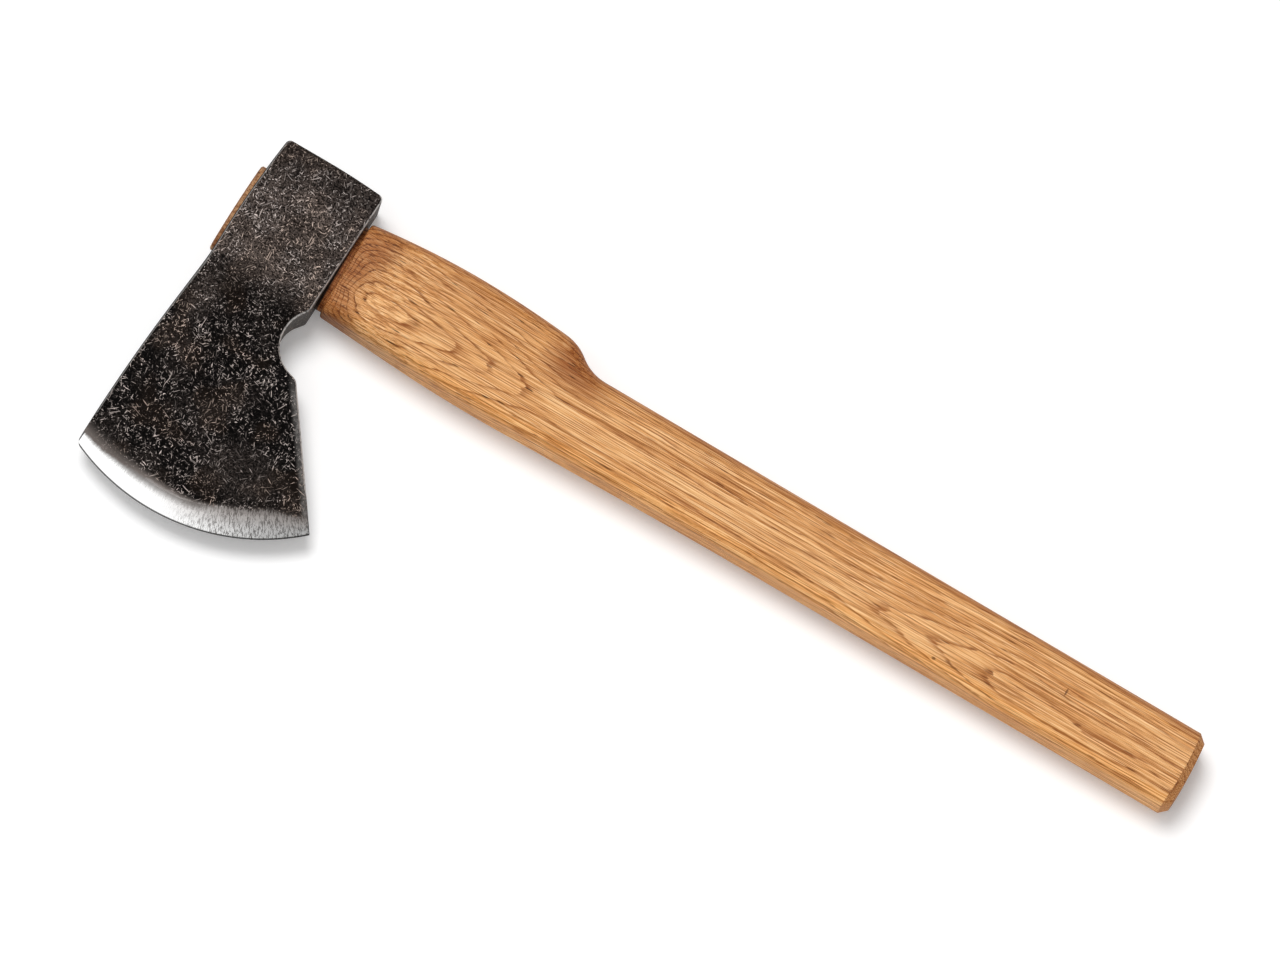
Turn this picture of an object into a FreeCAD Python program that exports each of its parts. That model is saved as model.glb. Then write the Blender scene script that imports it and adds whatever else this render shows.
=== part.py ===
"""Hatchet: a forged head hung on a wooden haft, locked by one wooden wedge and two barbed steel wedges.

Working frame of the sketches: origin in the middle of the eye, halfway through the thickness, X along
the haft from crown to butt, Y from the cutting edge to the poll, Z through the thickness. The bodies'
Placement then lays the hatchet on its side with the origin under the middle of its box.
"""
import FreeCAD, Part
import math
import os
import Sketcher
from FreeCAD import Placement, Rotation, Vector

os.makedirs("parts", exist_ok=True)
doc = FreeCAD.newDocument("hatchet")

# ---------------------------------------------------------------- driving dimensions, in mm and degrees

DIMENSIONS = (
    # head: outline seen on the cheek
    ("head_thick", 26.0, "cheek to cheek over the eye"),
    ("poll_reach", 31.1, "eye middle to the flat of the striking face"),
    ("poll_flat_x", 4.0, "where the flat ends, crown side of the eye middle"),
    ("poll_bow", 300.0, "radius in which the face falls away towards the haft"),
    ("poll_crown_x", 19.6, "eye middle to the poll's crown-side corner"),
    ("poll_haft_x", 23.7, "eye middle to the poll's haft-side corner"),
    ("eye_end_y", 23.7, "eye middle to the line where the cheeks start to thin"),
    ("eye_crown_x", 22.95, "crown-side wall on that line"),
    ("eye_haft_x", 21.4, "haft-side wall on that line"),
    ("crown_wall_bow", 422.0, "radius of the crown-side wall beside the eye"),
    ("toe_wall_bow", 694.0, "radius of the crown-side wall down to the toe"),
    ("notch_x", 8.35, "where the two sides of the notch would meet"),
    ("notch_y", 41.6, "where the two sides of the notch would meet"),
    ("beard_x", 30.2, "corner of notch and heel side"),
    ("beard_y", 48.4, "corner of notch and heel side"),
    ("heel_x", 65.0, "heel corner, on the edge's circle"),
    ("toe_x", 30.2, "toe corner, on the edge's circle"),
    ("edge_round", 85.6, "radius of the cutting edge"),
    ("edge_middle_x", 6.7, "centre of the cutting edge's circle"),
    ("edge_middle_y", 34.7, "centre of the cutting edge's circle"),
    # head: thickness
    ("cheek_fade_y", 51.0, "where the hollow of the cheeks runs out into the flat blade"),
    ("cheek_fade_half", 6.4, "half thickness there"),
    ("cheek_hollow", 85.5, "radius of the hollow of the cheeks"),
    ("blade_end_y", 125.0, "blade flats are carried this far, past the edge"),
    ("blade_end_half", 1.05, "half thickness there"),
    ("bevel_angle", 12.4, "slope of each ground bevel"),
    ("bevel_land", 0.1, "half thickness left at the cutting edge"),
    ("bevel_sweep", 110.0, "angle over which the bevels are ground"),
    ("bevel_run", 20.0, "radial length of the grinding cut"),
    ("bevel_past", 0.3, "grinding cut past the edge"),
    # head: rounded and broken corners
    ("poll_corner", 2.2, "poll corners seen on the cheek"),
    ("wall_blend", 80.0, "hollow between the two stretches of the crown-side wall"),
    ("eye_corner", 1.5, "corner between the eye's wall and the notch"),
    ("notch_round", 13.4, "round of the notch"),
    ("beard_corner", 4.0, "beard corner"),
    ("toe_corner", 3.5, "toe corner"),
    ("cheek_corner", 20.0, "bend of each cheek below the eye"),
    ("rim_round", 1.1, "rounded corners all round the cheeks"),
    ("rim_low", 2.5, "half thickness under which the corners stay as ground"),
    ("eye_bevel", 0.8, "bevel round both mouths of the eye"),
    # eye and tenon: an oval of four arcs that shrinks towards the haft
    ("eye_long_crown", 19.4, "half length of the oval at the crown end"),
    ("eye_long_haft", 18.9, "half length of the oval at the shoulder"),
    ("eye_wide_crown", 9.1, "half width of the oval at the crown end"),
    ("eye_wide_haft", 8.6, "half width of the oval at the shoulder"),
    ("eye_end_round", 6.2, "end radius of the oval"),
    ("loft_crown_x", 27.0, "crown end of the oval's taper"),
    # haft
    ("shoulder_x", 24.6, "eye middle to the shoulder"),
    ("shoulder_poll_y", 20.2, "poll side of the shoulder"),
    ("shoulder_bit_y", 19.8, "bit side of the shoulder"),
    ("crest_x", 67.0, "where the neck's poll side turns"),
    ("crest_y", 24.9, "poll side of the neck, before rounding"),
    ("crest_round", 390.0, "round of the neck's poll side"),
    ("step_top_x", 116.6, "top of the step from neck to grip"),
    ("step_top_y", 20.1, "top of the step from neck to grip"),
    ("step_foot_x", 126.9, "foot of the step"),
    ("step_foot_y", 12.1, "foot of the step"),
    ("step_round", 19.0, "round of both bends of the step"),
    ("butt_reach", 403.5, "eye middle to the furthest point of the sawn butt"),
    ("butt_top_y", 9.0, "that point, bit side of the eye middle"),
    ("butt_bow", 133.0, "radius of the slightly domed butt"),
    ("butt_poll_y", 10.7, "poll side of the grip at the butt"),
    ("butt_bit_y", 22.4, "bit side of the grip at the butt"),
    ("belly_x", 85.0, "where the neck's bit side turns"),
    ("belly_y", 23.2, "bit side of the neck, before rounding"),
    ("belly_round", 600.0, "round of the neck's bit side"),
    ("waist_x", 195.0, "where the grip's bit side turns"),
    ("waist_y", 21.4, "bit side of the grip, before rounding"),
    ("waist_round", 2500.0, "round of the grip's bit side"),
    ("haft_blank", 30.0, "thickness of the blank that the haft is sawn from"),
    ("swell_half", 8.8, "half thickness of the neck's taper, carried to the eye's middle"),
    ("neck_half", 12.2, "half thickness of the neck, before rounding"),
    ("neck_x", 60.0, "where the neck's faces turn"),
    ("neck_round", 500.0, "round of the neck's faces"),
    ("butt_half", 11.5, "half thickness at the butt"),
    ("haft_round", 6.5, "rounding of the haft's long corners"),
    ("shoulder_round", 1.2, "rounding of the shoulder's rim"),
    ("butt_bevel", 2.9, "bevel round the butt"),
    # crown: how far tenon and wedges stand out of the head
    ("crown_poll_x", 23.6, "crown's sawn face at its poll-side end"),
    ("crown_bit_x", 24.9, "crown's sawn face at its bit-side end"),
    ("crown_bevel", 0.5, "broken corner round the crown"),
    # wooden wedge
    ("wedge_crown_half", 2.9, "half thickness of the wedge at the crown"),
    ("wedge_tip_half", 0.6, "half thickness of its tip"),
    ("wedge_tip_x", 5.0, "tip of the wedge, past the eye's middle"),
    # steel wedges
    ("steel_wide", 14.0, "width of a steel wedge"),
    ("steel_deep", 15.0, "length of a steel wedge"),
    ("steel_head_half", 1.3, "half thickness of its head"),
    ("steel_tip_half", 0.3, "half thickness of its tip"),
    ("steel_spread", 9.0, "eye middle to each steel wedge"),
    ("steel_sink", 0.25, "steel wedge below the sawn crown"),
    ("barb_deep", 0.35, "depth of the barbs"),
    ("barb_long", 1.6, "length of one barb"),
    ("barb_start", 2.0, "head of the wedge to its first barb"),
    ("barb_count", 5, "barbs on each face of a steel wedge"),
    ("cut_margin", 5.0, "cutters reach this far past the stock"),
)

dims = doc.addObject("Spreadsheet::Sheet", "dims")
for row, (alias, value, meaning) in enumerate(DIMENSIONS, start=1):
    dims.set(f"A{row}", meaning)
    dims.set(f"B{row}", str(value))
    dims.setAlias(f"B{row}", alias)
doc.recompute()

# ------------------------------------------------------------------------------ sketches and features


def new_body(name):
    """A body whose Placement lays the hatchet on its side over the frame's origin."""
    body = doc.addObject("PartDesign::Body", name)
    body.Label = name
    body.setExpression("Placement.Base.x", "(dims.toe_x - dims.butt_reach) / 2")
    body.setExpression("Placement.Base.y", "(dims.edge_middle_y + dims.edge_round - dims.poll_reach) / 2")
    body.setExpression("Placement.Base.z", "dims.head_thick / 2")
    return body


def new_sketch(body, name, plane_role, offset=("0", "0", "0")):
    """A sketch on one of the body's own planes, moved by rules along the plane's own axes."""
    sketch = body.newObject("Sketcher::SketchObject", name)
    plane = next(f for f in body.Origin.OriginFeatures if f.Role == plane_role)
    sketch.AttachmentSupport = [(plane, "")]
    sketch.MapMode = "FlatFace"
    for axis, rule in zip("xyz", offset):
        if rule != "0":
            sketch.setExpression(f"AttachmentOffset.Base.{axis}", rule)
    return sketch


def bind(sketch, kind, *where_and_rule):
    """Adds a constraint whose value follows a rule of the sheet."""
    *where, rule = where_and_rule
    value = float(sketch.evalExpression(rule))
    index = sketch.addConstraint(Sketcher.Constraint(kind, *where, value))
    sketch.setExpression(f"Constraints[{index}]", rule)


def arc_between(start, end, bend):
    """Minor arc from start to end; a positive bend turns left. Returns it and whether it turns left."""
    chord = end - start
    left = Vector(-chord.y, chord.x, 0).normalize()
    rise = math.sqrt(bend * bend - chord.Length ** 2 / 4)
    centre = (start + end) / 2 + left * math.copysign(rise, bend)
    first, last = (start, end) if bend > 0 else (end, start)
    first_angle = math.atan2(first.y - centre.y, first.x - centre.x)
    last_angle = math.atan2(last.y - centre.y, last.x - centre.x)
    if last_angle < first_angle:
        last_angle += 2 * math.pi
    circle = Part.Circle(centre, Vector(0, 0, 1), abs(bend))
    return Part.ArcOfCircle(circle, first_angle, last_angle), bend > 0


def outline(sketch, corners):
    """Closed outline. A corner is (x rule, y rule) or (x rule, y rule, bend rule of the side after it)."""
    count = len(corners)
    points = [Vector(*(float(sketch.evalExpression(rule)) for rule in corner[:2]), 0) for corner in corners]
    sides = []
    for i, corner in enumerate(corners):
        start, end = points[i], points[(i + 1) % count]
        if len(corner) == 2:
            sides.append((sketch.addGeometry(Part.LineSegment(start, end), False), 1, 2))
            continue
        arc, turns_left = arc_between(start, end, float(sketch.evalExpression(corner[2])))
        side = sketch.addGeometry(arc, False)
        sides.append((side, 1, 2) if turns_left else (side, 2, 1))
        bind(sketch, "Radius", side, corner[2].lstrip("-"))
    for i, corner in enumerate(corners):
        side, start_end, far_end = sides[i]
        next_side, next_start, _ = sides[(i + 1) % count]
        sketch.addConstraint(Sketcher.Constraint("Coincident", side, far_end, next_side, next_start))
        bind(sketch, "DistanceX", -1, 1, side, start_end, corner[0])
        bind(sketch, "DistanceY", -1, 1, side, start_end, corner[1])


def rounded_outline(sketch, corners):
    """Closed outline of straight sides. A corner (x rule, y rule, round rule) runs into both its sides."""
    count = len(corners)
    points = [Vector(*(float(sketch.evalExpression(rule)) for rule in corner[:2]), 0) for corner in corners]
    heading = [(points[(i + 1) % count] - points[i]).normalize() for i in range(count)]
    pairs = [(heading[i - 1], heading[i]) for i in range(count)]
    turn = [math.atan2(before.cross(after).z, before.dot(after)) for before, after in pairs]
    radius = [float(sketch.evalExpression(corner[2])) if len(corner) > 2 else 0.0 for corner in corners]
    setback = [radius[i] * math.tan(abs(turn[i]) / 2) for i in range(count)]
    starts = [points[i] + heading[i] * setback[i] for i in range(count)]
    stops = [points[i] - heading[i - 1] * setback[i] for i in range(count)]
    sides = [Part.LineSegment(starts[i], stops[(i + 1) % count]) for i in range(count)]
    lines = [sketch.addGeometry(side, False) for side in sides]
    for i, corner in enumerate(corners):
        before, after = lines[i - 1], lines[i]
        if not radius[i]:
            sketch.addConstraint(Sketcher.Constraint("Coincident", before, 2, after, 1))
            bind(sketch, "DistanceX", -1, 1, after, 1, corner[0])
            bind(sketch, "DistanceY", -1, 1, after, 1, corner[1])
            continue
        arc, turns_left = arc_between(stops[i], starts[i], math.copysign(radius[i], turn[i]))
        bend = sketch.addGeometry(arc, False)
        first, last = (1, 2) if turns_left else (2, 1)
        sketch.addConstraint(Sketcher.Constraint("Tangent", before, 2, bend, first))
        sketch.addConstraint(Sketcher.Constraint("Tangent", bend, last, after, 1))
        bind(sketch, "Radius", bend, corner[2])
        spot = sketch.addGeometry(Part.Point(points[i]), True)
        bind(sketch, "DistanceX", -1, 1, spot, 1, corner[0])
        bind(sketch, "DistanceY", -1, 1, spot, 1, corner[1])
        for line in (before, after):
            sketch.addConstraint(Sketcher.Constraint("PointOnObject", spot, 1, line))


def oval(sketch, half_long, half_wide, end_round):
    """Oval of two end arcs and two side arcs that run into each other; its long axis is the sketch's x."""
    long, wide, end = (float(sketch.evalExpression(rule)) for rule in (half_long, half_wide, end_round))
    side_rule = (f"((({half_long}) - ({end_round}))^2 + ({half_wide})^2 - ({end_round})^2)"
                 f" / (2 * (({half_wide}) - ({end_round})))")
    side = ((long - end) ** 2 + wide ** 2 - end ** 2) / (2 * (wide - end))
    lean = math.atan2(long - end, side - wide)
    quarter = math.pi / 2
    arcs = (
        (Vector(long - end, 0, 0), end, lean - quarter, quarter - lean),
        (Vector(0, wide - side, 0), side, quarter - lean, quarter + lean),
        (Vector(end - long, 0, 0), end, quarter + lean, 3 * quarter - lean),
        (Vector(0, side - wide, 0), side, 3 * quarter - lean, 3 * quarter + lean),
    )
    for centre, radius, first, last in arcs:
        circle = Part.Circle(centre, Vector(0, 0, 1), radius)
        sketch.addGeometry(Part.ArcOfCircle(circle, first, last), False)
    for i in range(4):
        sketch.addConstraint(Sketcher.Constraint("Tangent", i, 2, (i + 1) % 4, 1))
    for end_arc, rule in ((0, f"({half_long}) - ({end_round})"), (2, f"({end_round}) - ({half_long})")):
        bind(sketch, "Radius", end_arc, end_round)
        bind(sketch, "DistanceX", -1, 1, end_arc, 3, rule)
        sketch.addConstraint(Sketcher.Constraint("DistanceY", -1, 1, end_arc, 3, 0.0))
    for side_arc in (1, 3):
        bind(sketch, "Radius", side_arc, side_rule)


def extrude(body, kind, name, profile, length_rule):
    """Pad or Pocket that reaches equally to both sides of its sketch."""
    feature = body.newObject(f"PartDesign::{kind}", name)
    feature.Profile = profile
    feature.SideType = "Symmetric"
    feature.setExpression("Length", length_rule)
    doc.recompute()
    return feature


def dress(body, kind, name, rule, test):
    """Fillet or Chamfer on the edges of the body's last solid that pass the test."""
    base = body.Tip
    names = [f"Edge{i}" for i, edge in enumerate(base.Shape.Edges, start=1) if test(edge)]
    feature = body.newObject(f"PartDesign::{kind}", name)
    feature.Base = (base, names)
    feature.setExpression("Radius" if kind == "Fillet" else "Size", rule)
    doc.recompute()
    return feature


TOUCH = 0.01  # two places closer than this are the same place


def size(alias):
    """A cell's value, for choosing edges by their place."""
    return float(dims.get(alias))


def ends(edge):
    return edge.Vertexes[0].Point, edge.Vertexes[-1].Point


def middle(edge):
    return edge.valueAt((edge.FirstParameter + edge.LastParameter) / 2)


def upright_at(sketch, corners):
    """Test for the edges through the thickness that stand on the given corners of an outline."""
    spots = [Vector(*(float(sketch.evalExpression(rule)) for rule in corner), 0) for corner in corners]

    def test(edge):
        spot = middle(edge)
        first, last = ends(edge)
        upright = abs(first.x - last.x) < TOUCH and abs(first.y - last.y) < TOUCH
        return upright and any((Vector(spot.x, spot.y, 0) - corner).Length < TOUCH for corner in spots)
    return test


def eye_loft(body, kind, name):
    """Adds or cuts the eye's tapered oval, from past the crown to the haft's shoulder."""
    crown = new_sketch(body, f"{name}_at_crown", "YZ_Plane", ("0", "0", "-dims.loft_crown_x"))
    oval(crown, "dims.eye_long_crown", "dims.eye_wide_crown", "dims.eye_end_round")
    shoulder = new_sketch(body, f"{name}_at_shoulder", "YZ_Plane", ("0", "0", "dims.shoulder_x"))
    oval(shoulder, "dims.eye_long_haft", "dims.eye_wide_haft", "dims.eye_end_round")
    feature = body.newObject(f"PartDesign::{kind}Loft", name)
    feature.Profile = crown
    feature.Sections = [shoulder]
    feature.Ruled = True
    doc.recompute()
    return feature


# --------------------------------------------------------------------------------------------- head
# One steel forging: poll and eye walls of full thickness, cheeks hollowed towards a thin bearded
# blade, and a curved edge ground from both sides.

def make_head():
    toe_y = "-(dims.edge_middle_y + sqrt(dims.edge_round^2 - (dims.toe_x + dims.edge_middle_x)^2))"
    heel_y = "-(dims.edge_middle_y + sqrt(dims.edge_round^2 - (dims.heel_x - dims.edge_middle_x)^2))"
    poll_haft_y = ("dims.poll_reach - dims.poll_bow"
                   " + sqrt(dims.poll_bow^2 - (dims.poll_haft_x + dims.poll_flat_x)^2)")
    body = new_body("head")
    side = new_sketch(body, "head_outline", "XY_Plane")
    outline(side, (
        ("-dims.poll_crown_x", "dims.poll_reach", "dims.crown_wall_bow"),
        ("-dims.eye_crown_x", "-dims.eye_end_y", "dims.toe_wall_bow"),
        ("-dims.toe_x", toe_y, "dims.edge_round"),
        ("dims.heel_x", heel_y),
        ("dims.beard_x", "-dims.beard_y"),
        ("dims.notch_x", "-dims.notch_y"),
        ("dims.eye_haft_x", "-dims.eye_end_y"),
        ("dims.poll_haft_x", poll_haft_y, "dims.poll_bow"),
        ("-dims.poll_flat_x", "dims.poll_reach"),
    ))
    extrude(body, "Pad", "head_blank", side, "dims.head_thick")
    rounded = (
        ("poll_fillet", "dims.poll_corner", (("-dims.poll_crown_x", "dims.poll_reach"),
                                             ("dims.poll_haft_x", poll_haft_y))),
        ("wall_fillet", "dims.wall_blend", (("-dims.eye_crown_x", "-dims.eye_end_y"),)),
        ("notch_fillet", "dims.notch_round", (("dims.notch_x", "-dims.notch_y"),)),
        ("eye_corner_fillet", "dims.eye_corner", (("dims.eye_haft_x", "-dims.eye_end_y"),)),
        ("beard_fillet", "dims.beard_corner", (("dims.beard_x", "-dims.beard_y"),)),
        ("toe_fillet", "dims.toe_corner", (("-dims.toe_x", toe_y),)),
    )
    for name, rule, corners in rounded:
        dress(body, "Fillet", name, rule, upright_at(side, corners))

    cheeks = new_sketch(body, "cheek_profile", "YZ_Plane")
    for face, hollow in (("", "-dims.cheek_hollow"), ("-", "dims.cheek_hollow")):
        outline(cheeks, (
            ("-dims.eye_end_y", f"{face}dims.head_thick / 2", hollow),
            ("-dims.cheek_fade_y", f"{face}dims.cheek_fade_half"),
            ("-dims.blade_end_y", f"{face}dims.blade_end_half"),
            ("-dims.blade_end_y", f"{face}(dims.head_thick / 2 + dims.cut_margin)"),
            ("-dims.eye_end_y", f"{face}(dims.head_thick / 2 + dims.cut_margin)"),
        ))
    extrude(body, "Pocket", "cheek_cut", cheeks, "4 * dims.heel_x")
    dress(body, "Fillet", "cheek_fillet", "dims.cheek_corner", on_cheek_bend)

    bevel = new_sketch(body, "bevel_profile", "YZ_Plane", ("-dims.edge_middle_y", "0", "dims.edge_middle_x"))
    for face in ("", "-"):
        outline(bevel, (
            ("-dims.edge_round - dims.bevel_past",
             f"{face}(dims.bevel_land - dims.bevel_past * tan(dims.bevel_angle * 1 deg))"),
            ("dims.bevel_run - dims.edge_round",
             f"{face}(dims.bevel_land + dims.bevel_run * tan(dims.bevel_angle * 1 deg))"),
            ("-dims.edge_round - dims.bevel_past",
             f"{face}(dims.bevel_land + dims.bevel_run * tan(dims.bevel_angle * 1 deg))"),
        ))
    grind = body.newObject("PartDesign::Groove", "bevel_grind")
    grind.Profile = bevel
    grind.ReferenceAxis = (bevel, ["V_Axis"])
    grind.setExpression("Angle", "dims.bevel_sweep")
    grind.Midplane = True
    doc.recompute()

    dress(body, "Fillet", "rim_fillet", "dims.rim_round", on_cheek_rim)

    eye_loft(body, "Subtractive", "eye")
    dress(body, "Chamfer", "eye_mouths", "dims.eye_bevel", on_eye_mouth)
    return body


def on_cheek_bend(edge):
    """The straight bend across each cheek where it starts to thin."""
    first, last = ends(edge)
    on_line = all(abs(end.y + size("eye_end_y")) < TOUCH for end in (first, last))
    return on_line and abs(first.z - last.z) < TOUCH and abs(first.z) > size("cheek_fade_half")


def on_cheek_rim(edge):
    """Edges between a cheek and the walls of the outline, down to the ground bevels."""
    first, last = ends(edge)
    across_cheek = abs(first.y - last.y) < TOUCH
    return abs(middle(edge).z) > size("rim_low") and not across_cheek


def on_eye_mouth(edge):
    """Edges where the eye breaks out of the crown-side and haft-side walls."""
    spot = middle(edge)
    beside_walls = abs(spot.x) > size("poll_crown_x") and abs(spot.y) < size("eye_long_crown")
    return beside_walls and abs(spot.z) < size("eye_wide_crown")


# --------------------------------------------------------------------------------------------- haft
# One piece of straight-grained hardwood: an oval tenon with a sawn kerf, a wide neck, a step down to
# a slab-sided grip and a sawn, bevelled butt.

def crown_trim(body, name):
    """Saws the crown off flush, along a line that leans a little towards the bit."""
    trim = new_sketch(body, f"{name}_line", "XY_Plane")
    outline(trim, (
        ("-dims.crown_poll_x", "dims.eye_long_crown"),
        ("-dims.loft_crown_x - dims.cut_margin", "dims.eye_long_crown"),
        ("-dims.loft_crown_x - dims.cut_margin", "-dims.eye_long_crown"),
        ("-dims.crown_bit_x", "-dims.eye_long_crown"),
    ))
    extrude(body, "Pocket", name, trim, "4 * dims.eye_wide_crown")


STEEL_HEAD_X = "(dims.steel_sink - dims.crown_poll_x)"
STEEL_TIP_X = "(dims.steel_sink - dims.crown_poll_x + dims.steel_deep)"


def steel_corners(middle_y):
    """Tapered outline of a steel wedge round its middle line."""
    return (
        (STEEL_HEAD_X, f"{middle_y} + dims.steel_head_half"),
        (STEEL_HEAD_X, f"{middle_y} - dims.steel_head_half"),
        (STEEL_TIP_X, f"{middle_y} - dims.steel_tip_half"),
        (STEEL_TIP_X, f"{middle_y} + dims.steel_tip_half"),
    )


def steel_slots(body, name):
    """Slots that the two steel wedges have cut for themselves, open at the crown."""
    slots = new_sketch(body, f"{name}_profile", "XY_Plane")
    for side in ("", "-"):
        head, *rest = steel_corners(f"{side}dims.steel_spread")
        outside = "-dims.loft_crown_x - dims.cut_margin"
        outline(slots, (head, (outside, head[1]), (outside, rest[0][1]), *rest))
    extrude(body, "Pocket", name, slots, "dims.steel_wide")


def make_haft():
    body = new_body("haft")
    side = new_sketch(body, "haft_outline", "XY_Plane")
    rounded_outline(side, (
        ("dims.shoulder_x", "dims.shoulder_poll_y"),
        ("dims.shoulder_x", "-dims.shoulder_bit_y"),
        ("dims.belly_x", "-dims.belly_y", "dims.belly_round"),
        ("dims.waist_x", "-dims.waist_y", "dims.waist_round"),
        ("dims.butt_reach + dims.cut_margin", "-dims.butt_bit_y"),
        ("dims.butt_reach + dims.cut_margin", "dims.butt_poll_y"),
        ("dims.step_foot_x", "dims.step_foot_y", "dims.step_round"),
        ("dims.step_top_x", "dims.step_top_y", "dims.step_round"),
        ("dims.crest_x", "dims.crest_y", "dims.crest_round"),
    ))
    extrude(body, "Pad", "haft_blank", side, "dims.haft_blank")

    faces = new_sketch(body, "haft_thickness", "XZ_Plane")
    for face in ("", "-"):
        rounded_outline(faces, (
            ("0", f"{face}dims.swell_half"),
            ("dims.neck_x", f"{face}dims.neck_half", "dims.neck_round"),
            ("dims.butt_reach + 2 * dims.cut_margin", f"{face}dims.butt_half"),
            ("dims.butt_reach + 2 * dims.cut_margin", f"{face}dims.haft_blank"),
            ("0", f"{face}dims.haft_blank"),
        ))
    extrude(body, "Pocket", "haft_planing", faces, "4 * dims.belly_y")
    dress(body, "Fillet", "haft_corners", "dims.haft_round", on_long_corner)
    saw_butt(body)
    dress(body, "Chamfer", "butt_bevel", "dims.butt_bevel", on_butt_rim)
    dress(body, "Fillet", "shoulder_rim", "dims.shoulder_round", on_shoulder_rim)

    eye_loft(body, "Additive", "tenon")
    crown_trim(body, "crown_cut")
    dress(body, "Chamfer", "crown_rim", "dims.crown_bevel", on_crown_rim)
    kerf = new_sketch(body, "kerf_profile", "XZ_Plane")
    outline(kerf, WEDGE_TOP + mirrored(WEDGE_TOP))
    extrude(body, "Pocket", "kerf", kerf, "4 * dims.eye_long_crown")
    steel_slots(body, "steel_slots")
    return body


def saw_butt(body):
    """Saws the butt almost square, along a slightly domed line."""
    saw = new_sketch(body, "butt_line", "XY_Plane")
    past_x = "(dims.butt_reach + 2 * dims.cut_margin)"
    poll_y = "(dims.butt_poll_y + dims.cut_margin)"
    bit_y = "(dims.butt_bit_y + dims.cut_margin)"
    dome = "dims.butt_reach - dims.butt_bow + sqrt(dims.butt_bow^2 - ({})^2)"
    outline(saw, (
        (dome.format(f"{bit_y} - dims.butt_top_y"), f"-{bit_y}", "dims.butt_bow"),
        (dome.format(f"{poll_y} + dims.butt_top_y"), poll_y),
        (past_x, poll_y),
        (past_x, f"-{bit_y}"),
    ))
    extrude(body, "Pocket", "butt_cut", saw, "2 * dims.haft_blank")


def on_long_corner(edge):
    """Edges along the haft, between its broad faces and its outline."""
    first, last = ends(edge)
    return abs(first.x - last.x) > TOUCH and abs(middle(edge).z) > size("swell_half")


def on_butt_rim(edge):
    return min(end.x for end in ends(edge)) > size("butt_reach") - size("butt_bevel")


def on_shoulder_rim(edge):
    return all(abs(end.x - size("shoulder_x")) < TOUCH for end in ends(edge))


def on_crown_rim(edge):
    return max(end.x for end in ends(edge)) < -size("crown_poll_x") + TOUCH


# ------------------------------------------------------------------------------------ wooden wedge
# A hardwood wedge as long as the eye, driven into the kerf until it spreads the tenon, then sawn off
# with the crown. The two steel wedges cut across it.

WEDGE_TAPER = "((dims.wedge_crown_half - dims.wedge_tip_half) / (dims.wedge_tip_x + dims.crown_poll_x))"
WEDGE_TOP = (
    ("-dims.crown_poll_x - dims.cut_margin", f"(dims.wedge_crown_half + dims.cut_margin * {WEDGE_TAPER})"),
    ("dims.wedge_tip_x", "dims.wedge_tip_half"),
)


def mirrored(corners):
    """The same corners on the other side of the sketch's x axis, in reverse order."""
    return tuple((x, f"-{y}") for x, y in reversed(corners))


def make_wooden_wedge():
    body = new_body("wooden_wedge")
    eye_loft(body, "Additive", "wedge_blank")
    crown_trim(body, "wedge_crown_cut")
    dress(body, "Chamfer", "wedge_crown_rim", "dims.crown_bevel", on_crown_rim)
    waste = new_sketch(body, "wedge_waste", "XZ_Plane")
    blank = (
        ("-dims.crown_poll_x - dims.cut_margin", "-dims.head_thick"),
        ("dims.shoulder_x + dims.cut_margin", "-dims.head_thick"),
    )
    outline(waste, WEDGE_TOP + mirrored(WEDGE_TOP) + blank + mirrored(blank))
    extrude(body, "Pocket", "wedge_faces", waste, "4 * dims.eye_long_crown")
    steel_slots(body, "wedge_slots")
    return body


# ------------------------------------------------------------------------------------ steel wedges
# Two small cut-steel wedges driven across the wooden one, with barbs that keep them in.

def make_steel_wedge(name, side):
    middle_y = f"{side}dims.steel_spread"
    body = new_body(name)
    taper = new_sketch(body, f"{name}_taper", "XY_Plane")
    outline(taper, steel_corners(middle_y))
    extrude(body, "Pad", f"{name}_blank", taper, "dims.steel_wide")

    barbs = new_sketch(body, f"{name}_barb_cuts", "XY_Plane")
    thinning = "((dims.steel_head_half - dims.steel_tip_half) / dims.steel_deep)"
    for number in range(int(size("barb_count"))):
        near = f"(dims.barb_start + {number} * dims.barb_long)"
        far = f"(dims.barb_start + {number + 1} * dims.barb_long)"
        for face in ("", "-"):
            face_near = f"{middle_y} + {face}(dims.steel_head_half - {near} * {thinning})"
            face_far = f"{middle_y} + {face}(dims.steel_head_half - {far} * {thinning})"
            outline(barbs, (
                (f"{STEEL_HEAD_X} + {near}", f"{face_near} - {face}dims.barb_deep"),
                (f"{STEEL_HEAD_X} + {far}", face_far),
                (f"{STEEL_HEAD_X} + {near}", f"{face_near} + {face}dims.barb_long"),
            ))
    extrude(body, "Pocket", f"{name}_barbs", barbs, "2 * dims.steel_wide")
    return body


BODIES = [
    make_head(),
    make_haft(),
    make_wooden_wedge(),
    make_steel_wedge("steel_wedge_poll_side", ""),
    make_steel_wedge("steel_wedge_bit_side", "-"),
]
doc.recompute()

broken = [item.Name for item in doc.Objects if {"Invalid", "Error"} & set(item.State)]
if broken:
    raise RuntimeError(f"features that failed: {broken}")
for body in BODIES:
    if body.Shape.isNull() or not body.Shape.isValid() or len(body.Shape.Solids) != 1:
        raise RuntimeError(f"{body.Label} is not one valid solid")
    body.Shape.exportStep(f"parts/{body.Label}.step")
    print(body.Label, f"{body.Shape.Volume / 1000:.1f} cm3")
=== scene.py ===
import math

import bpy
from mathutils import Matrix, Vector


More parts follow.
